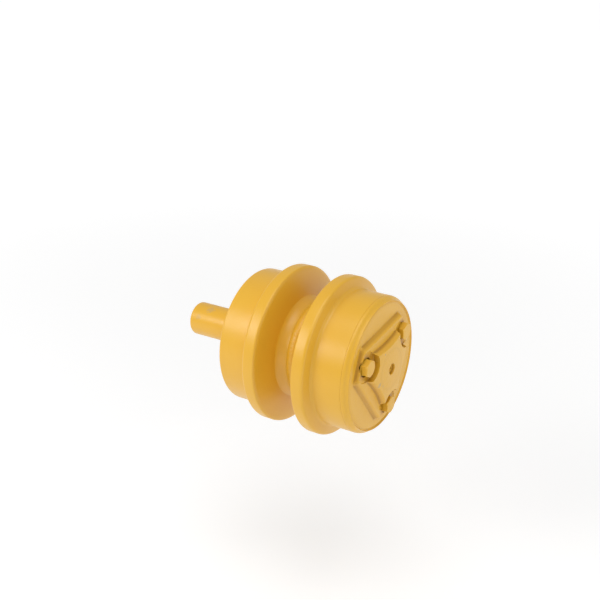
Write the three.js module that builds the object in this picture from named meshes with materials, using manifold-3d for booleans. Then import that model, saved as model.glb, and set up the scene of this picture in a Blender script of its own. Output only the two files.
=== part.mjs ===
// Carrier roller of a crawler undercarriage: a one-sided shaft, a two-flanged rolling shell on two
// tapered roller bearings, a floating face seal at the mounting end and a bolted cast cover.
// Millimetres, +Z up. The spin axis lies on Y. The origin is the middle of the stub's end face, the
// stub points to +Y and the cover faces -Y. A "station" is a distance from the middle of the groove
// between the flanges, positive towards the cover.
import * as THREE from 'three';
import { mergeVertices } from 'three/addons/utils/BufferGeometryUtils.js';
import Module from 'manifold-3d';

const wasm = await Module();
wasm.setup();

// ---- driving dimensions ----
const MID = 176;             // stub end face to the middle of the groove
const FIT = 0.3;             // gap left between pieces that touch
const RIM_R = 97;            // flange rim
const RIM_OUT = 41;          // station of the rim's outer edge
const RIM_IN = 25.5;         // station of the rim's inner edge
const TREAD_R = 83;          // rolling surface
const TREAD_IN = 44.5;       // station where the flange's outer side meets the tread
const TREAD_END = 83.5;      // end of the tread on the mounting side
const JOINT = 82;            // shell face under the cover
const WAIST_R = 57;          // groove floor
const CAVITY_R = 36;         // oil cavity between the bearings
const STUB_R = 21;           // bare shaft gripped by the bracket
const COLLAR_SEAT_R = 23;    // shaft under the seal collar
const COLLAR_R = 50.5;
const COLLAR_OUT = -88;      // outer face of the collar
const SEAL_FACE = -72.5;     // plane where the two metal seal rings meet
const SEAL_BORE_R = 46;      // bore that holds the rubber torics
const BOLT_CIRCLE_R = 51.5;
const BOLT_ANGLES = [37, 157, 277];
const BOLT_R = 6;
const BOLT_FLATS = 19;
const BOLT_HEAD = 7.2;
const BOLT_SEAT = 92;        // spot-faced floor under the bolts
const SPOT_FACE_R = 12;
const POCKET_R = 19;         // bite out of the hub's corner beside each bolt head
const CROWN = 89.8;          // cast face of the cover under the raised boss
const SHELF = 95.6;          // top of the six-sided boss, which carries the hub
const HUB_TOP = 104.3;       // middle of the domed hub that stands on the shelf
const HUB_SIDE = 33.5;       // distance of the hub's hollow sides from the spin axis
const PLUG_R = 5;
const ROUND = 36;            // sides of the large turned pieces
const SMALL_ROUND = 28;      // sides of the small turned pieces

const INNER_BEARING = {
  name: 'inner', back: -38, dir: -1, bore: 25, outer: 45, width: 22, cup: 17.5,
  count: 14, tilt: 12, taper: 2, roller: 5, length: 14.5, shift: 0.2,
};
const OUTER_BEARING = {
  name: 'outer', back: 38, dir: 1, bore: 20, outer: 40, width: 20, cup: 16,
  count: 12, tilt: 12, taper: 2, roller: 4.8, length: 13, shift: 0.2,
};

// ---- shared geometry helpers ----
const rad = (deg) => (deg * Math.PI) / 180;
const along = (station) => -(MID + station);

// Closed manifold from a three.js geometry, turned outward if its winding is inward.
function solid(geometry) {
  const bare = geometry.index ? geometry.clone() : geometry;
  bare.deleteAttribute('normal');
  bare.deleteAttribute('uv');
  const merged = mergeVertices(bare, 1e-4);
  const pos = merged.attributes.position.array;
  const tri = [];
  let volume = 0;
  for (let i = 0; i < merged.index.count; i += 3) {
    const [a, b, c] = [0, 1, 2].map((k) => merged.index.getX(i + k));
    if (a === b || b === c || a === c) continue;
    const [p, q, r] = [a, b, c].map((v) => new THREE.Vector3(pos[3 * v], pos[3 * v + 1], pos[3 * v + 2]));
    volume += p.dot(q.cross(r));
    tri.push(a, b, c);
  }
  if (volume < 0) for (let i = 0; i < tri.length; i += 3) [tri[i], tri[i + 1]] = [tri[i + 1], tri[i]];
  return new wasm.Manifold(new wasm.Mesh({
    numProp: 3, vertProperties: Float32Array.from(pos), triVerts: Uint32Array.from(tri),
  }));
}

function geometryOf(manifold) {
  const mesh = manifold.getMesh();
  const geometry = new THREE.BufferGeometry();
  geometry.setAttribute('position', new THREE.BufferAttribute(Float32Array.from(mesh.vertProperties), 3));
  geometry.setIndex(Array.from(mesh.triVerts));
  return geometry;
}

// Ring or disc turned about the spin axis from [radius, station] corners.
function turned(corners, segments) {
  const points = corners.map(([r, s]) => new THREE.Vector2(r, along(s)));
  if (corners[0][0] > 0) points.push(points[0].clone());
  return solid(new THREE.LatheGeometry(points, segments));
}

// Ring with a round section, used for the rubber rings.
function roundRing(ringR, station, sectionR, sides) {
  const corners = [];
  for (let i = 0; i < sides; i += 1) {
    const a = (i / sides) * 2 * Math.PI;
    corners.push([ringR + sectionR * Math.cos(a), station + sectionR * Math.sin(a)]);
  }
  return turned(corners, ROUND);
}

// Prism with a flat outline given as [x, z] corners between two stations.
function prism(outline, from, to) {
  const shape = new THREE.Shape(outline.map(([x, z]) => new THREE.Vector2(x, z)));
  const geometry = new THREE.ExtrudeGeometry(shape, { depth: to - from, bevelEnabled: false });
  geometry.rotateX(Math.PI / 2).translate(0, along(from), 0);
  return solid(geometry);
}

// Convex block whose outline changes from one station to the next: the drafted wall of a casting.
function drafted(outlineFrom, outlineTo, from, to) {
  const n = outlineFrom.length;
  const pos = [];
  outlineFrom.forEach(([x, z]) => pos.push(x, along(from), z));
  outlineTo.forEach(([x, z]) => pos.push(x, along(to), z));
  const index = [];
  for (let i = 0; i < n; i += 1) {
    const j = (i + 1) % n;
    index.push(i, j, n + i, j, n + j, n + i);
    if (i > 0 && i < n - 1) index.push(0, i + 1, i, n, n + i, n + i + 1);
  }
  const geometry = new THREE.BufferGeometry();
  geometry.setAttribute('position', new THREE.Float32BufferAttribute(pos, 3));
  geometry.setIndex(index);
  return solid(geometry);
}

// Cylinder parallel to the spin axis, centred on x, z, between two stations.
function pin(x, z, radius, from, to, segments = 20) {
  const geometry = new THREE.CylinderGeometry(radius, radius, Math.abs(to - from), segments);
  return solid(geometry.translate(x, along((from + to) / 2), z));
}

function hexagon(flats, x = 0, z = 0) {
  const r = flats / 2 / Math.cos(rad(30));
  return [0, 1, 2, 3, 4, 5].map((k) => [x + r * Math.cos(rad(60 * k)), z + r * Math.sin(rad(60 * k))]);
}

const polar = (r, deg) => [r * Math.cos(rad(deg)), r * Math.sin(rad(deg))];

const group = new THREE.Group();
group.name = 'carrier_roller';

function add(name, manifold, finish) {
  const mesh = new THREE.Mesh(geometryOf(manifold), new THREE.MeshStandardMaterial(finish));
  mesh.name = name;
  group.add(mesh);
}

const PAINT = { color: 0xe0a028, roughness: 0.42, metalness: 0.05 };
const FORGED = { color: 0x6f6a63, roughness: 0.5, metalness: 0.85 };
const BEARING_STEEL = { color: 0xb9bcc0, roughness: 0.22, metalness: 1 };
const CAGE_STEEL = { color: 0x8d9094, roughness: 0.4, metalness: 0.9 };
const SEAL_IRON = { color: 0x9a9a96, roughness: 0.25, metalness: 0.95 };
const RUBBER = { color: 0x1b1b1c, roughness: 0.75, metalness: 0 };
const ZINC = { color: 0xa7a9a6, roughness: 0.35, metalness: 0.9 };

// ---- shaft side: everything here stands still ----

// Stepped shaft: bare stub, collar seat, shoulder, two bearing seats and the nut thread.
function shaft() {
  const end = -MID;
  return turned([
    [0, end], [STUB_R - 4, end], [STUB_R - 1.2, end + 1.2], [STUB_R, end + 4],
    [STUB_R, -92], [COLLAR_SEAT_R, -90], [COLLAR_SEAT_R, -64], [31, -64], [31, -60 - FIT],
    [25 - FIT, -60 - FIT], [25 - FIT, -36], [24, -34], [24, 34], [20 - FIT, 38],
    [20 - FIT, 57.4], [17.5, 58.2], [17.5, 72], [16, 73.5], [0, 73.5],
  ], SMALL_ROUND);
}

// Collar pressed on the shaft: its cup holds the standing half of the face seal.
function sealCollar() {
  const bore = COLLAR_SEAT_R + FIT;
  return turned([
    [bore, -64 - FIT], [33, -64 - FIT], [33, -81.5], [SEAL_BORE_R - 0.6, -81.5],
    [SEAL_BORE_R + 0.4, -74.2], [COLLAR_R, -74.2], [COLLAR_R, COLLAR_OUT + 2],
    [COLLAR_R - 2, COLLAR_OUT], [bore + 1, COLLAR_OUT], [bore, COLLAR_OUT + 1],
    [bore, -79], [26.6, -79], [26.6, -74.8], [bore, -74.8],
  ], ROUND);
}

// One metal ring of the face seal; side is +1 for the turning ring and -1 for the standing ring.
function sealRing(side) {
  const s = (d) => SEAL_FACE + side * d;
  return turned([
    [35, s(0.15)], [44, s(0.15)], [44, s(1.4)], [39.2, s(1.4)], [39.2, s(6.8)], [35, s(6.8)],
  ], ROUND);
}

const sealToric = (side) => roundRing(42.3, SEAL_FACE + side * 4.75, 2.85, 6);

// Round nut with four hook slots, and the tabbed washer under it.
function lockNut() {
  let nut = turned([[17.8, 60.4], [27, 60.4], [27, 68.6], [25.6, 70], [17.8, 70]], SMALL_ROUND);
  for (let k = 0; k < 4; k += 1) {
    const slot = new THREE.BoxGeometry(6, 12, 5).translate(0, along(65.2), 26.5);
    nut = nut.subtract(solid(slot.rotateY(rad(90 * k))));
  }
  return nut;
}

function lockWasher() {
  const ring = turned([[17.9, 58.6], [29, 58.6], [29, 60], [17.9, 60]], SMALL_ROUND);
  const tab = new THREE.BoxGeometry(5, 8.6, 1.4).translate(0, along(62.9), 28.3);
  return ring.add(solid(tab));
}

// ---- tapered roller bearings ----

// Point on a bearing's roller axis: t runs towards the cone's back, offset is at right angles to
// the axis and positive away from the shaft. Returns [radius, station].
function bearingPoint(b, t, offset) {
  const tilt = rad(b.tilt);
  const middle = (b.bore + b.outer) / 2 + b.shift;
  return [
    middle + t * Math.sin(tilt) + offset * Math.cos(tilt),
    b.back + b.dir * (b.width / 2 + t * Math.cos(tilt) - offset * Math.sin(tilt)),
  ];
}

const rollerR = (b, t) => b.roller + t * Math.tan(rad(b.taper));

function bearingCup(b) {
  const half = b.length / 2;
  const gap = 0.4;
  const low = bearingPoint(b, -half - 2.4, rollerR(b, -half - 2.4) + gap);
  const high = bearingPoint(b, half, rollerR(b, half) + gap);
  const slope = (high[0] - low[0]) / (high[1] - low[1]);
  const face = b.back + b.dir * FIT;
  const front = b.back + b.dir * b.cup;
  const at = (station) => low[0] + slope * (station - low[1]);
  return turned([[at(face), face], [b.outer - FIT, face], [b.outer - FIT, front], [at(front), front]], ROUND);
}

function bearingCone(b) {
  const half = b.length / 2;
  const gap = 0.3;
  const rib = half + 0.5;
  const backFace = b.back + b.dir * b.width;
  return turned([
    [b.bore, backFace], [b.bore, b.back + b.dir * 2.5],
    bearingPoint(b, -rib - 1.6, -rollerR(b, -rib) + 1),
    bearingPoint(b, -rib, -rollerR(b, -rib) + 1),
    bearingPoint(b, -rib, -rollerR(b, -rib) - gap),
    bearingPoint(b, rib, -rollerR(b, rib) - gap),
    bearingPoint(b, rib, -rollerR(b, rib) + 2.4),
    [bearingPoint(b, rib, -rollerR(b, rib) + 2.4)[0], backFace],
  ], ROUND);
}

// Places a part drawn along +Y at one roller's centre, tilted like the roller.
function atRoller(b, geometry, k) {
  const [r, station] = bearingPoint(b, 0, 0);
  const turn = rad((360 / b.count) * k);
  geometry.rotateZ(b.dir > 0 ? Math.PI : 0);
  geometry.rotateZ(b.dir > 0 ? rad(b.tilt) : -rad(b.tilt));
  return geometry.translate(r, along(station), 0).rotateY(turn);
}

function bearingRoller(b, k) {
  const half = b.length / 2;
  const geometry = new THREE.CylinderGeometry(rollerR(b, half), rollerR(b, -half), b.length, 8);
  return solid(atRoller(b, geometry, k));
}

function bearingCage(b) {
  const end = b.length / 2 + 2.2;
  let cage = turned([
    bearingPoint(b, -end, 0), bearingPoint(b, end, 0), bearingPoint(b, end, 1.8),
    bearingPoint(b, -end, 1.8),
  ], b.count * 2);
  const width = 2 * (rollerR(b, b.length / 2) + 0.45);
  for (let k = 0; k < b.count; k += 1) {
    const pocket = new THREE.BoxGeometry(9, b.length + 0.9, width);
    cage = cage.subtract(solid(atRoller(b, pocket, k)));
  }
  return cage;
}

// ---- rolling shell ----

// Outer skin of one half, from the groove to the end of the tread; side is +1 on the cover half.
function shellSkin(side, endStation, endRound) {
  return [
    [WAIST_R - 3.5, 0.15], [WAIST_R, 3.5], [WAIST_R, 11], [WAIST_R + 1.6, 14.5], [WAIST_R + 6, 17.5],
    [RIM_R - 2.5, RIM_IN - 1.2], [RIM_R, RIM_IN + 0.8], [RIM_R, RIM_OUT - 1.2],
    [RIM_R - 1.8, RIM_OUT], [TREAD_R + 2.2, TREAD_IN - 0.6], [TREAD_R, TREAD_IN + 2.2],
    [TREAD_R, endStation - endRound], [TREAD_R - endRound, endStation],
  ].map(([r, s]) => [r, side * s]);
}

function shellInnerHalf() {
  return turned([
    ...shellSkin(-1, TREAD_END, 2),
    [COLLAR_R + 1.5, -TREAD_END], [COLLAR_R + 1.5, SEAL_FACE - 0.8], [SEAL_BORE_R + 0.4, SEAL_FACE - 0.8],
    [INNER_BEARING.outer, -64], [INNER_BEARING.outer, INNER_BEARING.back],
    [CAVITY_R, INNER_BEARING.back], [CAVITY_R, -0.15],
  ], ROUND);
}

function shellOuterHalf() {
  let shell = turned([
    ...shellSkin(1, JOINT, 0.6),
    [OUTER_BEARING.outer, JOINT], [OUTER_BEARING.outer, OUTER_BEARING.back],
    [CAVITY_R, OUTER_BEARING.back], [CAVITY_R, 0.15],
  ], ROUND);
  BOLT_ANGLES.forEach((angle) => {
    const [x, z] = polar(BOLT_CIRCLE_R, angle);
    shell = shell.subtract(pin(x, z, BOLT_R + FIT, 58, JOINT + 1, 12));
  });
  return shell;
}

// Weld bead that joins the two halves, lying in their shared groove.
function weldBead() {
  const r = WAIST_R + 0.45;
  return turned([
    [WAIST_R - 2.8, 0], [r, 3.4], [r, 5], [r + 1.9, 2.6], [r + 1.9, -2.6], [r, -5], [r, -3.4],
  ], ROUND);
}

// ---- cover ----

// Six-sided outline of the boss: long sides between the bolts, short sides by the bolts.
function bossOutline(longSide, shortSide) {
  const r = Math.sqrt((longSide ** 2 + shortSide ** 2 - longSide * shortSide) / 0.75);
  const half = (Math.acos(shortSide / r) * 180) / Math.PI;
  return BOLT_ANGLES.flatMap((angle) => [polar(r, angle - half), polar(r, angle + half)]);
}

// Three-cornered outline of the hub: each side bows slightly inwards.
function hubOutline() {
  const bowR = 150;
  return BOLT_ANGLES.flatMap((angle) => {
    const middle = angle + 60;
    const [cx, cz] = polar(HUB_SIDE + bowR, middle);
    return [10, 5, 0, -5, -10].map((a) => {
      const [dx, dz] = polar(bowR, middle + 180 + a);
      return [cx + dx, cz + dz];
    });
  });
}

function cover() {
  const spigot = OUTER_BEARING.outer - FIT;
  const foot = bossOutline(50.5, 64.5);
  let body = turned([
    [0, HUB_TOP - 14], [33, HUB_TOP - 17], [33, 70], [spigot, 70.8],
    [spigot, 73], [36.7, 73], [36.7, 77], [spigot, 77], [spigot, JOINT + FIT],
    [TREAD_R - 0.2, JOINT + FIT], [TREAD_R - 0.2, 83.8], [TREAD_R - 1.2, 86.2],
    [TREAD_R - 3.8, 88], [71, CROWN], [0, CROWN],
  ], ROUND);
  body = body.add(prism(foot, JOINT + 3, CROWN));
  body = body.add(drafted(foot, bossOutline(46, 62.5), CROWN, SHELF));
  const dome = turned([
    [0, CROWN - 4], [46, CROWN - 4], [46, 102.2], [38, 102.9], [24, HUB_TOP - 0.5], [10, HUB_TOP],
    [0, HUB_TOP],
  ], ROUND);
  body = body.add(dome.intersect(prism(hubOutline(), CROWN - 3, HUB_TOP + 2)));
  BOLT_ANGLES.forEach((angle) => {
    const [x, z] = polar(BOLT_CIRCLE_R, angle);
    body = body.subtract(pin(x, z, POCKET_R, SHELF, HUB_TOP + 2, 20));
    body = body.subtract(pin(x, z, SPOT_FACE_R, BOLT_SEAT, HUB_TOP + 2, 20));
    body = body.subtract(pin(x, z, BOLT_R + 0.6, JOINT - 2, BOLT_SEAT + 1, 12));
  });
  body = body.subtract(pin(0, 0, PLUG_R + 1.6, HUB_TOP - 3, HUB_TOP + 2, 16));
  return body.subtract(pin(0, 0, PLUG_R + FIT, HUB_TOP - 20, HUB_TOP + 2, 16));
}

// Hexagon-head bolt with a chamfered head; its spring washer is split and sits on the pocket floor.
function coverBolt(x, z) {
  const seat = BOLT_SEAT + 2.7;
  const top = seat + BOLT_HEAD;
  const corner = BOLT_FLATS / 2 / Math.cos(rad(30)) + 0.5;
  const cap = turned([
    [0, seat], [corner, seat], [corner, top - 1.3], [BOLT_FLATS / 2 - 0.8, top], [0, top],
  ], 12).translate([x, 0, z]);
  const head = prism(hexagon(BOLT_FLATS, x, z), seat, top).intersect(cap);
  return head.add(pin(x, z, BOLT_R, seat + 1, 62, 12));
}

function springWasher(x, z) {
  const inner = BOLT_R + 0.4;
  const [low, high] = [BOLT_SEAT + FIT, BOLT_SEAT + 2.4];
  const ring = turned([[inner, low], [10.2, low], [10.2, high], [inner, high]], 16);
  const slit = new THREE.BoxGeometry(1.2, 9, 8).translate(0, along(BOLT_SEAT + 1.3), 8.5);
  return ring.subtract(solid(slit)).translate([x, 0, z]);
}

function fillerPlug() {
  const face = HUB_TOP - 3;
  const plug = turned([[0, face - 11], [PLUG_R, face - 11], [PLUG_R, face], [0, face]], 16);
  return plug.subtract(prism(hexagon(5), face - 5, face + 1));
}

// ---- assembly ----
add('shaft', shaft(), PAINT);
add('seal_collar', sealCollar(), PAINT);
add('collar_o_ring', roundRing(24.95, -76.9, 1.35, 5), RUBBER);
add('standing_seal_ring', sealRing(-1), SEAL_IRON);
add('standing_seal_toric', sealToric(-1), RUBBER);
add('turning_seal_ring', sealRing(1), SEAL_IRON);
add('turning_seal_toric', sealToric(1), RUBBER);
add('lock_washer', lockWasher(), ZINC);
add('lock_nut', lockNut(), FORGED);
[INNER_BEARING, OUTER_BEARING].forEach((b) => {
  add(`${b.name}_bearing_cup`, bearingCup(b), BEARING_STEEL);
  add(`${b.name}_bearing_cone`, bearingCone(b), BEARING_STEEL);
  add(`${b.name}_bearing_cage`, bearingCage(b), CAGE_STEEL);
  for (let k = 0; k < b.count; k += 1) {
    add(`${b.name}_bearing_roller_${k + 1}`, bearingRoller(b, k), BEARING_STEEL);
  }
});
add('shell_inner_half', shellInnerHalf(), PAINT);
add('shell_outer_half', shellOuterHalf(), PAINT);
add('waist_weld_bead', weldBead(), PAINT);
add('cover', cover(), PAINT);
add('cover_o_ring', roundRing(38.35, 75, 1.35, 5), RUBBER);
BOLT_ANGLES.forEach((angle, i) => {
  const [x, z] = polar(BOLT_CIRCLE_R, angle);
  add(`cover_bolt_${i + 1}`, coverBolt(x, z), PAINT);
  add(`spring_washer_${i + 1}`, springWasher(x, z), ZINC);
});
add('filler_plug', fillerPlug(), PAINT);

export default group;
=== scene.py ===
import math

import bmesh
import bpy
from mathutils import Matrix, Vector


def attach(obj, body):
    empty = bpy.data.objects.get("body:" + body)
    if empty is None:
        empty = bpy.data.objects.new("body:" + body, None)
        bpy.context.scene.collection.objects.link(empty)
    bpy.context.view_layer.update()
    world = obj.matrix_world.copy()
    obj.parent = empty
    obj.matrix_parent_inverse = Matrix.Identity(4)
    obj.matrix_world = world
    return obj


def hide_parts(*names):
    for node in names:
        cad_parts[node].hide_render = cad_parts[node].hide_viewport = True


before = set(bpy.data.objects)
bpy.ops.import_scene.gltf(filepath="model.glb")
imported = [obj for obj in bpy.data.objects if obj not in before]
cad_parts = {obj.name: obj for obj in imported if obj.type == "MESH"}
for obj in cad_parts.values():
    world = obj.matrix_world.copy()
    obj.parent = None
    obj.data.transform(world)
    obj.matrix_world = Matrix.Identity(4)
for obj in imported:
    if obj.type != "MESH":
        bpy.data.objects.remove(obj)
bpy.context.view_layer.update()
scene = bpy.context.scene

# ---------------------------------------------------------------------------------------------
# Room: a pale floor lit from below like a light table, and a light grey studio with three large
# soft boxes that give the enamel its long quiet highlights. None of it is part of the object.
# ---------------------------------------------------------------------------------------------
centre = Vector((0.0, -0.176, 0.0))     # middle of the groove, on the spin axis
FLOOR_Z, FLOOR_HALF = -0.34, 12.0       # the floor's height and half its width, in metres

scene.view_settings.view_transform = "Standard"
world = bpy.data.worlds.new("studio")
scene.world = world
world.use_nodes = True
world.node_tree.nodes["Background"].inputs["Color"].default_value = (1.0, 1.0, 1.0, 1.0)
world.node_tree.nodes["Background"].inputs["Strength"].default_value = 0.52

floor_mesh = bpy.data.meshes.new("floor")
bm = bmesh.new()
bmesh.ops.create_grid(bm, x_segments=1, y_segments=1, size=FLOOR_HALF)
bmesh.ops.translate(bm, vec=(0.0, centre.y, FLOOR_Z), verts=bm.verts)
bm.to_mesh(floor_mesh)
bm.free()
floor = bpy.data.objects.new("floor", floor_mesh)
scene.collection.objects.link(floor)
pale = bpy.data.materials.new("pale_floor")
pale.use_nodes = True
pale_shader = pale.node_tree.nodes["Principled BSDF"]
pale_shader.inputs["Base Color"].default_value = (0.96, 0.96, 0.96, 1.0)
pale_shader.inputs["Roughness"].default_value = 0.9
pale_shader.inputs["Emission Color"].default_value = (1.0, 1.0, 1.0, 1.0)
# The floor glows, least near the middle and most far out, so it reads evenly white and sends less
# light onto the roller's underside.
spot = pale.node_tree.nodes.new("ShaderNodeTexCoord")
reach = pale.node_tree.nodes.new("ShaderNodeVectorMath")
reach.operation = "LENGTH"
glow = pale.node_tree.nodes.new("ShaderNodeMapRange")
glow.inputs["From Min"].default_value = 0.5
glow.inputs["From Max"].default_value = 2.2
glow.inputs["To Min"].default_value = 0.12
glow.inputs["To Max"].default_value = 0.52
pale.node_tree.links.new(spot.outputs["Object"], reach.inputs[0])
pale.node_tree.links.new(reach.outputs["Value"], glow.inputs["Value"])
pale.node_tree.links.new(glow.outputs["Result"], pale_shader.inputs["Emission Strength"])
floor_mesh.materials.append(pale)


def seen_from(azimuth, elevation, distance):
    """Place that looks at the centre: degrees round from the cover end, degrees up, metres off."""
    a, e = math.radians(azimuth), math.radians(elevation)
    back = Vector((math.sin(a) * math.cos(e), -math.cos(a) * math.cos(e), math.sin(e)))
    turn = back.to_track_quat("Z", "Y").to_matrix().to_4x4()
    return Matrix.Translation(centre + back * distance) @ turn


def soft_box(name, azimuth, elevation, distance, width, height, watts):
    """Studio lamp behind a rectangular diffuser, aimed at the centre."""
    lamp = bpy.data.lights.new(name, "AREA")
    lamp.shape = "RECTANGLE"
    lamp.size, lamp.size_y = width, height
    lamp.energy = watts
    box = bpy.data.objects.new(name, lamp)
    box.matrix_world = seen_from(azimuth, elevation, distance)
    scene.collection.objects.link(box)


soft_box("left_box", -126, 30, 1.6, 1.0, 0.6, 10)
soft_box("overhead_box", -60, 74, 1.6, 1.2, 1.2, 10)
soft_box("front_box", 5, 14, 1.8, 0.9, 0.9, 5)

lens = bpy.data.cameras.new("product_lens")
lens.sensor_width = 36.0
lens.lens = 58.73
lens.shift_x = -0.0256
lens.shift_y = 0.0809
camera = bpy.data.objects.new("product_camera", lens)
camera.matrix_world = seen_from(-58.61, 26.01, 1.184)
scene.collection.objects.link(camera)
scene.camera = camera

# ---------------------------------------------------------------------------------------------
# Shaft: a stepped steel bar turned in one setting. Its bare stub is gripped by the bracket; inside
# the shell it has a collar seat, a shoulder, two ground bearing seats and a seat for the nut. The
# stub is sprayed with the same golden machine enamel as the rest of the roller.
# ---------------------------------------------------------------------------------------------
GOLD = (0.73, 0.41, 0.032, 1.0)
GOLD_DEEP = (0.67, 0.355, 0.02, 1.0)
# Deeper gold used as painted shade in hollows, pockets and on the boss's sides.
GOLD_PAINTED_SHADE = (0.45, 0.215, 0.006, 1.0)
PRIMER_GREY = (0.30, 0.27, 0.22, 1.0)


def wire(material):
    """The material's shader, add(kind, **inputs) to make a node and join(a, b) to link sockets."""
    material.use_nodes = True
    tree = material.node_tree

    def add(kind, **inputs):
        node = tree.nodes.new(kind)
        for key, value in inputs.items():
            if hasattr(node, key):
                setattr(node, key, value)
            else:
                node.inputs[key.replace("_", " ")].default_value = value
        return node

    return tree.nodes["Principled BSDF"], add, tree.links.new


def along(station):
    """Y in metres of a station: mm from the middle of the groove, positive towards the cover."""
    return centre.y - station / 1000


def golden_enamel(name, grain=0.25, turning=0.0, scuffs=()):
    """Satin enamel: two close yellows in soft clouds, orange peel, cast grain or turning marks under
    it, painted shade (a deeper gold) wherever the point attribute marks hollows, and rubbed grey
    spots. Each scuff is a point as x, station and z in mm, a reach in mm and a strength."""
    material = bpy.data.materials.new(name)
    shader, add, join = wire(material)
    place = add("ShaderNodeTexCoord")

    clouds = add("ShaderNodeTexNoise", Scale=14.0, Detail=3.0, Roughness=0.55)
    join(place.outputs["Object"], clouds.inputs["Vector"])
    blend = add("ShaderNodeMix", data_type="RGBA")
    join(clouds.outputs["Fac"], blend.inputs["Factor"])
    blend.inputs["A"].default_value = GOLD_DEEP
    blend.inputs["B"].default_value = GOLD
    colour = blend.outputs["Result"]

    # Painted shade: the deeper gold is mixed in where the point attribute marks hollows and pockets.
    shade_attribute = add("ShaderNodeAttribute", attribute_name="hollow")
    painted_shade_mix = add("ShaderNodeMix", data_type="RGBA")
    join(shade_attribute.outputs["Fac"], painted_shade_mix.inputs["Factor"])
    join(colour, painted_shade_mix.inputs["A"])
    painted_shade_mix.inputs["B"].default_value = GOLD_PAINTED_SHADE
    colour = painted_shade_mix.outputs["Result"]

    for point, reach, strength in scuffs:
        ragged = add("ShaderNodeTexNoise", Scale=260.0, Detail=4.0, Roughness=0.7)
        join(place.outputs["Object"], ragged.inputs["Vector"])
        away = add("ShaderNodeVectorMath", operation="DISTANCE")
        join(place.outputs["Object"], away.inputs[0])
        away.inputs[1].default_value = (point[0] / 1000, along(point[1]), point[2] / 1000)
        near = add("ShaderNodeMapRange", To_Min=0.75, To_Max=0.0)
        near.inputs["From Max"].default_value = reach / 1000
        join(away.outputs["Value"], near.inputs["Value"])
        rubbed = add("ShaderNodeMath", operation="ADD")
        join(near.outputs["Result"], rubbed.inputs[0])
        join(ragged.outputs["Fac"], rubbed.inputs[1])
        edge = add("ShaderNodeMapRange", To_Min=0.0)
        edge.inputs["From Min"].default_value = 0.92
        edge.inputs["From Max"].default_value = 1.05
        edge.inputs["To Max"].default_value = strength
        join(rubbed.outputs["Value"], edge.inputs["Value"])
        layer = add("ShaderNodeMix", data_type="RGBA")
        join(edge.outputs["Result"], layer.inputs["Factor"])
        join(colour, layer.inputs["A"])
        layer.inputs["B"].default_value = PRIMER_GREY
        colour = layer.outputs["Result"]
    join(colour, shader.inputs["Base Color"])

    sheen = add("ShaderNodeTexNoise", Scale=60.0, Detail=4.0)
    join(place.outputs["Object"], sheen.inputs["Vector"])
    dull = add("ShaderNodeMapRange", To_Min=0.26, To_Max=0.40)
    join(sheen.outputs["Fac"], dull.inputs["Value"])
    join(dull.outputs["Result"], shader.inputs["Roughness"])

    peel = add("ShaderNodeTexNoise", Scale=520.0, Detail=2.0, Roughness=0.5)
    join(place.outputs["Object"], peel.inputs["Vector"])
    skin = add("ShaderNodeBump", Strength=0.10, Distance=0.0006)
    join(peel.outputs["Fac"], skin.inputs["Height"])
    normal = skin.outputs["Normal"]
    if grain:
        sand = add("ShaderNodeTexNoise", Scale=190.0, Detail=6.0, Roughness=0.65)
        join(place.outputs["Object"], sand.inputs["Vector"])
        cast = add("ShaderNodeBump", Strength=grain, Distance=0.0012)
        join(sand.outputs["Fac"], cast.inputs["Height"])
        join(normal, cast.inputs["Normal"])
        normal = cast.outputs["Normal"]
    if turning:
        axes = add("ShaderNodeSeparateXYZ")
        join(place.outputs["Object"], axes.inputs["Vector"])
        rings = add("ShaderNodeTexNoise", noise_dimensions="1D", Scale=1500.0, Detail=3.0)
        join(axes.outputs["Y"], rings.inputs["W"])
        marks = add("ShaderNodeBump", Strength=turning, Distance=0.0004)
        join(rings.outputs["Fac"], marks.inputs["Height"])
        join(normal, marks.inputs["Normal"])
        normal = marks.outputs["Normal"]
    join(normal, shader.inputs["Normal"])
    return material


def finish_piece(bm, name, material, body, stands_for, sharp=32):
    """Closes a mesh up, turns its faces outward, marks its sharp edges and hangs it on its body."""
    bmesh.ops.remove_doubles(bm, verts=bm.verts, dist=1e-6)
    bmesh.ops.recalc_face_normals(bm, faces=bm.faces)
    for face in bm.faces:
        face.smooth = True
    for edge in bm.edges:
        if len(edge.link_faces) == 2 and edge.calc_face_angle() > math.radians(sharp):
            edge.smooth = False
    mesh = bpy.data.meshes.new(name)
    bm.to_mesh(mesh)
    bm.free()
    mesh.materials.append(material)
    piece = bpy.data.objects.new(name, mesh)
    scene.collection.objects.link(piece)
    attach(piece, body)
    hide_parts(stands_for)


def spun(outline, steps):
    """Turned blank. outline is a list of (radius, station, corner rounding) in mm; the outline of a
    solid bar starts and ends on the axis, and that of a ring closes on itself."""
    bm = bmesh.new()
    corners = [bm.verts.new((r / 1000, along(s), 0.0)) for r, s, _ in outline]
    ring = outline[0][0] > 0
    for a, b in zip(corners, corners[1:] + corners[:1] if ring else corners[1:]):
        bm.edges.new((a, b))
    for corner, (_, _, rounding) in zip(corners, outline):
        if rounding:
            bmesh.ops.bevel(bm, geom=[corner], offset=rounding / 1000, affect="VERTICES",
                            segments=5, profile=0.5, material=-1)
    bmesh.ops.spin(bm, geom=bm.verts[:] + bm.edges[:], cent=(0, 0, 0), axis=(0, 1, 0),
                   dvec=(0, 0, 0), angle=2 * math.pi, steps=steps, use_merge=True)
    bmesh.ops.remove_doubles(bm, verts=bm.verts, dist=1e-6)
    bmesh.ops.recalc_face_normals(bm, faces=bm.faces)
    return bm


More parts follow.
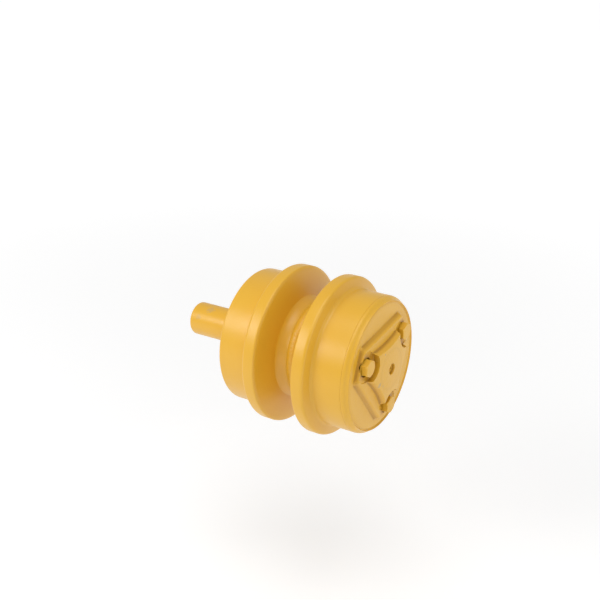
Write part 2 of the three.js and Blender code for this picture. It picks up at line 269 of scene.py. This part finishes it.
enamel_turned = golden_enamel("golden_enamel_turned", grain=0.05, turning=0.22,
                              scuffs=[((-8, -150, 20), 13, 0.28), ((-18, -163, 10), 9, 0.22)])
shaft = spun([
    (0, -176, 0), (21, -176, 3.4), (21, -92, 0), (23, -90, 0), (23, -64, 0), (31, -64, 0.8),
    (31, -60.3, 0.5), (24.7, -60.3, 0), (24.7, -36, 0.3), (24, -34, 0), (24, 34, 0), (19.7, 38, 0),
    (19.7, 57.4, 0.3), (17.5, 58.2, 0), (17.5, 72, 0), (16, 73.5, 0), (0, 73.5, 0),
], 96)
finish_piece(shaft, "stub_shaft", enamel_turned, "shaft_side", "shaft")

# ---------------------------------------------------------------------------------------------
# Seal collar: a turned steel cup pressed on the shaft. Its rim runs in the mouth of the shell as a
# labyrinth, its outer face butts the bracket, and an O-ring seals its bore to the shaft.
# ---------------------------------------------------------------------------------------------
enamel_machined = golden_enamel("golden_enamel_machined", grain=0.08, turning=0.12)
collar = spun([
    (23.3, -64.3, 0), (33, -64.3, 0.5), (33, -81.5, 1.5), (45.4, -81.5, 1), (46.4, -74.2, 0.4),
    (50.5, -74.2, 0.6), (50.5, -88, 1.6), (24.3, -88, 0.5), (23.3, -87, 0), (23.3, -79, 0),
    (26.6, -79, 0.2), (26.6, -74.8, 0.2), (23.3, -74.8, 0),
], 128)
finish_piece(collar, "seal_collar_ring", enamel_machined, "shaft_side",
             "seal_collar")

# ---------------------------------------------------------------------------------------------
# Rubber rings: two torics squeezed behind the metal seal rings, and two O-rings. Moulded black
# nitrile with a fine dull grain and a trace of oil.
# ---------------------------------------------------------------------------------------------
rubber = bpy.data.materials.new("black_nitrile")
shader, add, join = wire(rubber)
place = add("ShaderNodeTexCoord")
bloom = add("ShaderNodeTexNoise", Scale=120.0, Detail=5.0)
join(place.outputs["Object"], bloom.inputs["Vector"])
tint = add("ShaderNodeMix", data_type="RGBA")
tint.inputs["A"].default_value = (0.008, 0.008, 0.009, 1.0)
tint.inputs["B"].default_value = (0.022, 0.022, 0.023, 1.0)
join(bloom.outputs["Fac"], tint.inputs["Factor"])
join(tint.outputs["Result"], shader.inputs["Base Color"])
wet = add("ShaderNodeMapRange", To_Min=0.38, To_Max=0.7)
join(bloom.outputs["Fac"], wet.inputs["Value"])
join(wet.outputs["Result"], shader.inputs["Roughness"])
mould = add("ShaderNodeTexNoise", Scale=900.0, Detail=2.0)
join(place.outputs["Object"], mould.inputs["Vector"])
skin = add("ShaderNodeBump", Strength=0.15, Distance=0.0003)
join(mould.outputs["Fac"], skin.inputs["Height"])
join(skin.outputs["Normal"], shader.inputs["Normal"])


def rubber_ring(name, ring_r, station, section_r, body, node):
    """Round-section ring, with a moulding flash line round its outer edge."""
    sides, body_r, flash = 20, section_r - 0.08, 0.06
    outline = []
    for i in range(sides):
        a = i / sides * 2 * math.pi
        outline.append((ring_r + (body_r + (flash if i == 0 else 0)) * math.cos(a),
                        station + body_r * math.sin(a), 0))
    finish_piece(spun(outline, 96), name, rubber, body, node, sharp=60)


rubber_ring("standing_toric", 42.3, -77.25, 2.85, "shaft_side", "standing_seal_toric")
rubber_ring("turning_toric", 42.3, -67.75, 2.85, "rolling_shell", "turning_seal_toric")
rubber_ring("collar_o_ring_seal", 24.95, -76.9, 1.35, "shaft_side", "collar_o_ring")
rubber_ring("cover_o_ring_seal", 38.35, 75, 1.35, "rolling_shell", "cover_o_ring")

# ---------------------------------------------------------------------------------------------
# Floating seal rings: two equal cast iron rings whose lapped faces run on each other. On the real
# rings the narrow lapped band is bright and the rest is turned iron; here one turned-iron finish
# covers the whole ring.
# ---------------------------------------------------------------------------------------------


def bare_metal(name, dark, light, rough, turning, fine=1600.0):
    """Bare metal with turning or grinding rings along the axis and a faint mottled film of oil."""
    material = bpy.data.materials.new(name)
    shader, add, join = wire(material)
    shader.inputs["Metallic"].default_value = 1.0
    place = add("ShaderNodeTexCoord")
    film = add("ShaderNodeTexNoise", Scale=70.0, Detail=4.0)
    join(place.outputs["Object"], film.inputs["Vector"])
    tone = add("ShaderNodeMix", data_type="RGBA")
    tone.inputs["A"].default_value = dark
    tone.inputs["B"].default_value = light
    join(film.outputs["Fac"], tone.inputs["Factor"])
    join(tone.outputs["Result"], shader.inputs["Base Color"])
    dull = add("ShaderNodeMapRange", To_Min=rough - 0.07, To_Max=rough + 0.09)
    join(film.outputs["Fac"], dull.inputs["Value"])
    join(dull.outputs["Result"], shader.inputs["Roughness"])
    axes = add("ShaderNodeSeparateXYZ")
    join(place.outputs["Object"], axes.inputs["Vector"])
    rings = add("ShaderNodeTexNoise", noise_dimensions="1D", Scale=fine, Detail=2.0)
    join(axes.outputs["Y"], rings.inputs["W"])
    cut = add("ShaderNodeBump", Strength=turning, Distance=0.0002)
    join(rings.outputs["Fac"], cut.inputs["Height"])
    join(cut.outputs["Normal"], shader.inputs["Normal"])
    return material


seal_iron = bare_metal("lapped_seal_iron", (0.33, 0.32, 0.30, 1), (0.46, 0.45, 0.43, 1), 0.24, 0.2)
for side, name, body, node in ((-1, "standing_face_ring", "shaft_side", "standing_seal_ring"),
                               (1, "turning_face_ring", "rolling_shell", "turning_seal_ring")):
    face_ring = spun([(r, -72.5 + side * d, rounding) for r, d, rounding in (
        (35, 0.6, 0), (38.5, 0.6, 0), (39, 0.15, 0), (44, 0.15, 0.3), (44, 1.4, 0.4),
        (39.2, 1.4, 0.6), (39.2, 6.8, 0.5), (35, 6.8, 0.4))], 128)
    finish_piece(face_ring, name, seal_iron, body, node)

# ---------------------------------------------------------------------------------------------
# Lock nut and washer: a round nut with four hook slots draws the bearings up against the shoulder,
# and the zinc-plated washer's tab bends up into one slot.
# ---------------------------------------------------------------------------------------------


def carve(bm, cutters, operation="DIFFERENCE"):
    """Cuts or trims a mesh with others, and gives the result back as one mesh."""
    def as_object(source, label):
        mesh = bpy.data.meshes.new(label)
        bmesh.ops.recalc_face_normals(source, faces=source.faces)
        source.to_mesh(mesh)
        source.free()
        made = bpy.data.objects.new(label, mesh)
        scene.collection.objects.link(made)
        return made

    blank = as_object(bm, "blank")
    tools = [as_object(cutter, "tool") for cutter in cutters]
    for tool in tools:
        cut = blank.modifiers.new("cut", "BOOLEAN")
        cut.operation = operation
        cut.solver = "EXACT"
        cut.object = tool
    shaped = bpy.data.meshes.new_from_object(
        blank.evaluated_get(bpy.context.evaluated_depsgraph_get()))
    result = bmesh.new()
    result.from_mesh(shaped)
    for leftover in [blank] + tools:
        mesh = leftover.data
        bpy.data.objects.remove(leftover)
        bpy.data.meshes.remove(mesh)
    bpy.data.meshes.remove(shaped)
    return result


def block(size, middle, rounding=0.0, turn=None):
    """Box in mm, with rounded edges, centred on (x, station, z)."""
    bm = bmesh.new()
    bmesh.ops.create_cube(bm, size=0.001, matrix=Matrix.Diagonal((*size, 1)))
    if rounding:
        bmesh.ops.bevel(bm, geom=bm.edges[:], offset=rounding / 1000, affect="EDGES",
                        segments=3, profile=0.5, material=-1)
    x, station, z = middle
    bmesh.ops.translate(bm, vec=(x / 1000, along(station), z / 1000), verts=bm.verts)
    if turn is not None:
        bmesh.ops.transform(bm, matrix=turn, verts=bm.verts)
    return bm


oiled_steel = bare_metal("oiled_nut_steel", (0.10, 0.095, 0.09, 1), (0.2, 0.19, 0.175, 1), 0.38, 0.3)
zinc = bare_metal("zinc_plate", (0.42, 0.43, 0.42, 1), (0.56, 0.57, 0.55, 1), 0.3, 0.1)
nut = spun([(17.8, 60.4, 0.4), (27, 60.4, 0.3), (27, 70, 1.2), (17.8, 70, 0.6)], 96)
slots = [block((6, 12, 5), (0, 65.2, 26.6), 0.4, Matrix.Rotation(math.radians(90 * k), 4, "Y"))
         for k in range(4)]
finish_piece(carve(nut, slots), "slotted_lock_nut", oiled_steel, "shaft_side",
             "lock_nut")
washer = spun([(17.9, 58.6, 0.2), (29, 58.6, 0.2), (29, 60, 0.2), (17.9, 60, 0.2)], 96)
washer = carve(washer, [block((5, 8.4, 1.3), (0, 62.8, 28.3), 0.2)], "UNION")
finish_piece(washer, "tab_washer", zinc, "shaft_side", "lock_washer")

# ---------------------------------------------------------------------------------------------
# Tapered roller bearings: hardened, ground cups and cones, pressed steel cages and crowned rollers.
# They stand back to back, so the wide ends of the rollers face outward. Each roller is its own
# piece, because it spins in its cage.
# ---------------------------------------------------------------------------------------------
ground_steel = bare_metal("ground_bearing_steel", (0.50, 0.50, 0.51, 1), (0.62, 0.62, 0.63, 1),
                          0.16, 0.12)
cage_sheet = bare_metal("pressed_cage_sheet", (0.36, 0.36, 0.37, 1), (0.48, 0.48, 0.48, 1),
                        0.34, 0.05)
TILT = math.radians(12)                 # of a roller's axis to the spin axis
TAPER = math.tan(math.radians(2))       # growth of a roller's radius along its length


def bearing(name, back, way, bore, outer, width, cup_width, count, roller, length):
    """Whole bearing from the station of its back face, the way it faces (1 towards the cover), the
    radii of its bore, outside and mean roller, its widths, and its rollers' number and length."""
    middle_r = (bore + outer) / 2 + 0.2
    half = length / 2

    def point(t, offset, rounding=0.0):
        """Outline point t along a roller's axis from its middle and offset out from that axis."""
        return (middle_r + t * math.sin(TILT) + offset * math.cos(TILT),
                back + way * (width / 2 + t * math.cos(TILT) - offset * math.sin(TILT)), rounding)

    def roller_r(t):
        return roller + t * TAPER

    race, nose = 0.42, half + 2.4
    low, high = point(-nose, roller_r(-nose) + race), point(half, roller_r(half) + race)
    slope = (high[0] - low[0]) / (high[1] - low[1])
    face, front = back + way * 0.3, back + way * cup_width
    cup = spun([(low[0] + slope * (face - low[1]), face, 0.4), (outer - 0.3, face, 0.9),
                (outer - 0.3, front, 0.7), (low[0] + slope * (front - low[1]), front, 0.3)], 128)
    finish_piece(cup, f"{name}_cup", ground_steel, "rolling_shell",
                 f"{name}_bearing_cup")

    rib = half + 0.5
    back_face = back + way * width
    lip = point(rib, -roller_r(rib) + 2.4)
    cone = spun([(bore, back_face, 0.6), (bore, back + way * 2.5, 0.4),
                 point(-rib - 1.6, -roller_r(-rib) + 1, 0.2), point(-rib, -roller_r(-rib) + 1, 0.2),
                 point(-rib, -roller_r(-rib) - 0.3), point(rib, -roller_r(rib) - 0.3),
                 (lip[0], lip[1], 0.3), (lip[0], back_face, 0.5)], 128)
    finish_piece(cone, f"{name}_cone", ground_steel, "shaft_side",
                 f"{name}_bearing_cone")

    def seat(k):
        """Matrix that lays a part drawn along the spin axis at the groove's middle on roller k."""
        r, station, _ = point(0, 0)
        tip = Matrix.Rotation((TILT if way > 0 else -TILT), 4, "Z")
        if way > 0:
            tip = tip @ Matrix.Rotation(math.pi, 4, "Z")
        turn = Matrix.Rotation(2 * math.pi * k / count, 4, "Y")
        return (turn @ Matrix.Translation((r / 1000, along(station), 0)) @ tip
                @ Matrix.Translation((0, -centre.y, 0)))

    end = half + 2.2
    cage = spun([point(-end, 0.1, 0.2), point(end, 0.1, 0.4), point(end, 1.7, 0.4),
                 point(-end, 1.7, 0.2)], 96)
    pocket_w = 2 * (roller_r(half) + 0.45)
    pockets = [block((9, length + 0.9, pocket_w), (0, 0, 0), 0.6, seat(k)) for k in range(count)]
    finish_piece(carve(cage, pockets), f"{name}_cage", cage_sheet, f"{name}_cage",
                 f"{name}_bearing_cage")

    for k in range(count):
        blank = spun([(0, half, 0), (roller_r(-half) - 0.05, half, 0.5),
                      (roller_r(0) - 0.02, 0, 0), (roller_r(half) - 0.05, -half, 0.5),
                      (0, -half, 0)], 28)
        bmesh.ops.transform(blank, matrix=seat(k), verts=blank.verts)
        finish_piece(blank, f"{name}_roller_{k + 1}", ground_steel, f"{name}_roller_{k + 1}",
                     f"{name}_bearing_roller_{k + 1}")


bearing("inner", -38, -1, 25, 45, 22, 17.5, 14, 5.0, 14.5)
bearing("outer", 38, 1, 20, 40, 20, 16, 12, 4.8, 13)

# ---------------------------------------------------------------------------------------------
# Rolling shell: two steel forgings, each with a hardened tread, a flange and half of the waist.
# Their outsides are turned all over, which leaves faint rings under the enamel.
# ---------------------------------------------------------------------------------------------
enamel_forged = golden_enamel("golden_enamel_forged", grain=0.10, turning=0.14)


def shell_outline(side, end, end_rounding):
    """Outside of one half from the waist over the flange and tread to the end, towards side."""
    outline = [
        (53.5, 0.15, 0), (57, 3.5, 0.8), (57, 13.2, 7.5), (63, 17.4, 3.0), (94.6, 24.4, 2.2),
        (97, 26.2, 1.5), (97, 39.2, 1.6), (95.4, 41.0, 1.6), (83, 44.6, 3.4), (83, end, end_rounding),
    ]
    return [(r, side * s, rounding) for r, s, rounding in outline]


inner_half = spun(shell_outline(-1, 83.5, 2.6) + [
    (52, -83.5, 0.6), (52, -73.3, 0.4), (46.4, -73.3, 0), (45, -64, 0), (45, -38, 0), (36, -38, 0.5),
    (36, -0.15, 0),
], 192)
finish_piece(inner_half, "shell_mounting_half", enamel_forged, "rolling_shell",
             "shell_inner_half")

BOLT_ANGLES = (37, 157, 277)
BOLT_CIRCLE = 51.5


def on_circle(radius, degrees):
    """The x and z of a point on a circle about the spin axis."""
    return radius * math.cos(math.radians(degrees)), radius * math.sin(math.radians(degrees))


def drill(x, z, outline, steps=48):
    """Cutter or pin parallel to the spin axis through x, z in mm."""
    bm = spun(outline, steps)
    bmesh.ops.translate(bm, vec=(x / 1000, 0, z / 1000), verts=bm.verts)
    return bm


outer_half = spun(shell_outline(1, 82.1, 0.25) + [
    (40, 82.1, 0.6), (40, 38, 0), (36, 38, 0.5), (36, 0.15, 0),
], 192)
bolt_holes = [drill(*on_circle(BOLT_CIRCLE, a), [
    (0, 58, 0), (6.3, 58, 0), (6.3, 81, 0), (7.1, 81.9, 0), (7.1, 84, 0), (0, 84, 0),
]) for a in BOLT_ANGLES]
finish_piece(carve(outer_half, bolt_holes), "shell_cover_half", enamel_forged, "rolling_shell",
             "shell_outer_half")

# ---------------------------------------------------------------------------------------------
# Weld bead: the two forgings are joined by one pass round the waist. Its overlapping ripples show
# through the enamel.
# ---------------------------------------------------------------------------------------------
BEAD_TOE, BEAD_HALF = 57.4, 5.0         # radius of the bead's edges and half its width
RIPPLES, SURGES = 84, 9                 # round the waist

enamel_weld = golden_enamel("golden_enamel_weld", grain=0.3)
bead = spun([
    (54.2, 0, 0), (BEAD_TOE, 3.4, 0), (BEAD_TOE, BEAD_HALF, 0.3), (58.6, 3.6, 0), (59.05, 1.8, 0),
    (59.2, 0, 0), (59.05, -1.8, 0), (58.6, -3.6, 0), (BEAD_TOE, -BEAD_HALF, 0.3),
    (BEAD_TOE, -3.4, 0),
], 720)
for vert in bead.verts:
    x, y, z = vert.co
    r = math.hypot(x, z) * 1000
    if r < BEAD_TOE + 0.5:
        continue
    station = (centre.y - y) * 1000
    turn = math.atan2(z, x) / (2 * math.pi)
    bowed = 0.55 * (station / BEAD_HALF) ** 2
    ripple = (turn * RIPPLES - bowed + 0.12 * math.sin(turn * 43)) % 1.0
    swell = min(1, 1 - 0.45 * ripple + 0.2 * math.sin(turn * 2 * math.pi * SURGES))
    height = min((r - BEAD_TOE) * (0.55 + 0.45 * swell), 1.8)
    k = (BEAD_TOE + height) / r
    vert.co.x, vert.co.z = x * k, z * k
finish_piece(bead, "waist_weld", enamel_weld, "rolling_shell", "waist_weld_bead",
             sharp=70)

# ---------------------------------------------------------------------------------------------
# Cover: a grey iron casting that closes the bearing bore; its spigot takes the O-ring. A six-sided
# boss stands on its crowned face, and on that a domed three-cornered hub, with the bolts' pockets
# bitten out of its corners and the filler hole in its middle.
# ---------------------------------------------------------------------------------------------
CROWN, SHELF, HUB_TOP = 89.8, 95.6, 104.3       # stations of the face, boss and hub
SIDE_MIDDLE = 92.4                              # station half-way up the boss's sides
SPOT_FACE = 92                                  # station that the bolts' washers bear on
LONG_SIDE, SHORT_SIDE = 50.2, 64                # feet of the boss's sides from the axis
HUB_BOW, HUB_BOW_AT = 150.5, 183.5              # radius of the hub's bowed sides, and its centre
HUB_CORNER = 42                                 # the hub's cut corners from the axis


def soft_max(a, b, blend):
    """The larger of two, rounded over where they come within blend of each other."""
    return max(a, b) + max(blend - abs(a - b), 0.0) ** 2 / (4 * blend)


def soft_min(a, b, blend):
    """The smaller of two, rounded in the same way."""
    return -soft_max(-a, -b, blend)


def beside(x, z, degrees):
    """Distance of x, z from the spin axis, measured in one direction."""
    ux, uz = on_circle(1, degrees)
    return x * ux + z * uz


def face_station(x, z):
    """Station of the cover's face: crown, six-sided boss with drafted sides, domed hub."""
    r = math.hypot(x, z)
    crown = CROWN - max(r - 71, 0) ** 2 * 0.0268
    boss, hub = 110.0, HUB_TOP - 0.0012 * r * r
    for a in BOLT_ANGLES:
        boss = soft_min(boss, CROWN + (LONG_SIDE - beside(x, z, a + 60)) * 1.29, 3.0)
        boss = soft_min(boss, CROWN + (SHORT_SIDE - beside(x, z, a)) * 2.4, 3.0)
        cx, cz = on_circle(HUB_BOW_AT, a + 60)
        hub = soft_min(hub, SHELF + (math.hypot(x - cx, z - cz) - HUB_BOW) * 2.6, 2.0)
        hub = soft_min(hub, SHELF + (HUB_CORNER - beside(x, z, a)) * 3.0, 1.6)
    return soft_max(crown, soft_max(soft_min(boss, SHELF, 1.0), hub, 0.9), 0.9)


def pool_hollows(bm, passes):
    """Point attribute of painted shade: how far the face lies under its own average, and a share of
    painted shade on the drafted sides of the boss."""
    shade_layer = bm.verts.layers.float.new("hollow")
    bm.verts.index_update()
    own = [(centre.y - vert.co.y) * 1000 for vert in bm.verts]
    beside_it = [[edge.other_vert(vert).index for edge in vert.link_edges] for vert in bm.verts]
    level = own
    for _ in range(passes):
        level = [0.3 * level[i] + 0.7 * sum(level[j] for j in near) / len(near)
                 for i, near in enumerate(beside_it)]
    for vert, height, average in zip(bm.verts, own, level):
        x, z = vert.co.x * 1000, vert.co.z * 1000
        if height > CROWN - 1.5 and math.hypot(x, z) < 76:
            side = max(1 - abs(height - SIDE_MIDDLE) / 2.2, 0) if height < SHELF else 0
            vert[shade_layer] = min(max((average - height) * 1.6, 0) + 0.5 * side, 1)


def paint_shade_in_pockets(bm):
    """Painted shade in the same attribute for the bolts' bores, the foot of each bitten corner and
    the filler hole.
    """
    shade_layer = bm.verts.layers.float["hollow"]
    for vert in bm.verts:
        x, station, z = vert.co.x * 1000, (centre.y - vert.co.y) * 1000, vert.co.z * 1000
        for a in BOLT_ANGLES:
            bx, bz = on_circle(BOLT_CIRCLE, a)
            away = math.hypot(x - bx, z - bz)
            if away < 12.2 and 86 < station < 95:
                vert[shade_layer] = 1.0
            elif 16.5 < away < 19.3 and station < 96.4 and beside(x, z, a) < 46:
                vert[shade_layer] = 0.9
        if math.hypot(x, z) < 6.8 and station < 102:
            vert[shade_layer] = 0.9


face_rings = [77 - 0.5 * i for i in range(103)] + [25 - 3 * i for i in range(8)]
cover = spun([
    (0, 90.3, 0), (33, 87.3, 2), (33, 70, 0.6), (39.7, 70, 0.8), (39.7, 73, 0), (36.7, 73, 0.3),
    (36.7, 77, 0.3), (39.7, 77, 0), (39.7, 82.15, 0), (82.8, 82.15, 0.2), (82.8, 85.2, 2.4),
    (79.4, 87.6, 3),
] + [(r, 95, 0) for r in face_rings] + [(0, 95, 0)], 400)
for vert in cover.verts:
    x, z = vert.co.x * 1000, vert.co.z * 1000
    if vert.co.y < along(94.9):
        vert.co.y = along(face_station(x, z))
# Painted shade in the hollows of the cover's face and on the boss's sides.
pool_hollows(cover, 14)

pockets = []
for a in BOLT_ANGLES:
    at = on_circle(BOLT_CIRCLE, a)
    pockets.append(drill(*at, [(0, 94.7, 0), (18.8, 94.7, 1.2), (19.4, 106, 0), (0, 106, 0)], 96))
    pockets.append(drill(*at, [
        (0, SPOT_FACE, 0), (11.5, SPOT_FACE, 0.4), (11.5, 106, 0), (0, 106, 0)], 96))
    pockets.append(drill(*at, [
        (0, 80, 0), (6.6, 80, 0), (6.6, 91.4, 0), (7.2, 92.2, 0), (7.2, 95, 0), (0, 95, 0)]))
pockets.append(drill(0, 0, [
    (0, 101.3, 0), (6.6, 101.3, 0.5), (6.6, 103.6, 0), (7.6, 105, 0), (0, 105, 0)]))
pockets.append(drill(0, 0, [(0, 84, 0), (5.3, 84, 0), (5.3, 103, 0), (0, 103, 0)]))

enamel_cast = golden_enamel("golden_enamel_cast", grain=0.3, scuffs=[
    ((-16, 103, 25), 2.6, 0.9), ((-28, 103, -9), 7.0, 0.5), ((-20, 103, -14), 5.0, 0.35)])
cover = carve(cover, pockets)
# Painted shade in the bolts' pockets and the filler hole.
paint_shade_in_pockets(cover)
finish_piece(cover, "end_cover", enamel_cast, "rolling_shell", "cover", sharp=38)

# ---------------------------------------------------------------------------------------------
# Cover bolts and spring washers: hexagon heads chamfered on top and painted over with the cover.
# Each washer is one turn of flat wire, sprung open at the cut and painted along with its bolt.
# ---------------------------------------------------------------------------------------------
HEAD_FLATS = 19


def hexagon_bar(flats, low, high):
    """Six-sided bar in mm on the spin axis, between two stations."""
    bar = bmesh.new()
    bmesh.ops.create_circle(bar, segments=6, radius=flats / 2 / math.cos(math.radians(30)) / 1000,
                            cap_ends=True)
    bmesh.ops.rotate(bar, matrix=Matrix.Rotation(math.radians(-90), 3, "X"), verts=bar.verts)
    bmesh.ops.translate(bar, vec=(0, along(low), 0), verts=bar.verts)
    raised = bmesh.ops.extrude_face_region(bar, geom=bar.faces[:])
    bmesh.ops.translate(bar, vec=(0, along(high) - along(low), 0),
                        verts=[v for v in raised["geom"] if isinstance(v, bmesh.types.BMVert)])
    return bar


enamel_bolt = golden_enamel("golden_enamel_bolt", grain=0.12)
for i, a in enumerate(BOLT_ANGLES):
    x, z = on_circle(BOLT_CIRCLE, a)
    seat, top = 94.7, 101.9
    head = hexagon_bar(HEAD_FLATS, seat, top)
    bmesh.ops.translate(head, vec=(x / 1000, 0, z / 1000), verts=head.verts)
    cone = drill(x, z, [(0, seat - 0.1, 0), (10.7, seat - 0.1, 0), (11.4, seat + 0.4, 0),
                        (11.4, top - 1.4, 0), (8.9, top - 0.02, 0.3), (0, top - 0.02, 0)], 64)
    shank = drill(x, z, [(0, 62, 0), (5.2, 62, 0), (6, 63, 0), (6, seat + 2, 0), (0, seat + 2, 0)])
    bolt = carve(carve(head, [cone], "INTERSECT"), [shank], "UNION")
    finish_piece(bolt, f"hexagon_bolt_{i + 1}", enamel_bolt, "rolling_shell",
                 f"cover_bolt_{i + 1}", sharp=28)

    coil = bmesh.new()
    bmesh.ops.create_grid(coil, x_segments=1, y_segments=1, size=0.5,
                          matrix=Matrix.Diagonal((0.0038, 0.0017, 1, 1)))
    bmesh.ops.bevel(coil, geom=coil.verts[:], offset=0.0003, affect="VERTICES", segments=2,
                    profile=0.5, material=-1)
    bmesh.ops.translate(coil, vec=(0.0083, along(93.2), 0), verts=coil.verts)
    bmesh.ops.spin(coil, geom=coil.verts[:] + coil.edges[:] + coil.faces[:], cent=(0, 0, 0),
                   axis=(0, 1, 0), dvec=(0, -0.0000045, 0), angle=math.radians(351), steps=72)
    bmesh.ops.rotate(coil, matrix=Matrix.Rotation(math.radians(-90), 3, "Y"), verts=coil.verts)
    bmesh.ops.translate(coil, vec=(x / 1000, 0, z / 1000), verts=coil.verts)
    finish_piece(coil, f"split_washer_{i + 1}", enamel_bolt, "rolling_shell",
                 f"spring_washer_{i + 1}")

# ---------------------------------------------------------------------------------------------
# Filler plug: a steel plug with a hexagon socket that closes the oil hole in the middle of the
# cover. It sits just below the face of the hub and was painted over with it.
# ---------------------------------------------------------------------------------------------
PLUG_R, PLUG_FACE, SOCKET_FLATS = 5, 101.3, 5
plug = spun([(0, 90.3, 0), (PLUG_R, 90.3, 0.6), (PLUG_R, PLUG_FACE, 0.5), (0, PLUG_FACE, 0)], 64)
socket = hexagon_bar(SOCKET_FLATS, PLUG_FACE - 5, PLUG_FACE + 1.7)
finish_piece(carve(plug, [socket]), "socket_plug", enamel_bolt, "rolling_shell",
             "filler_plug")
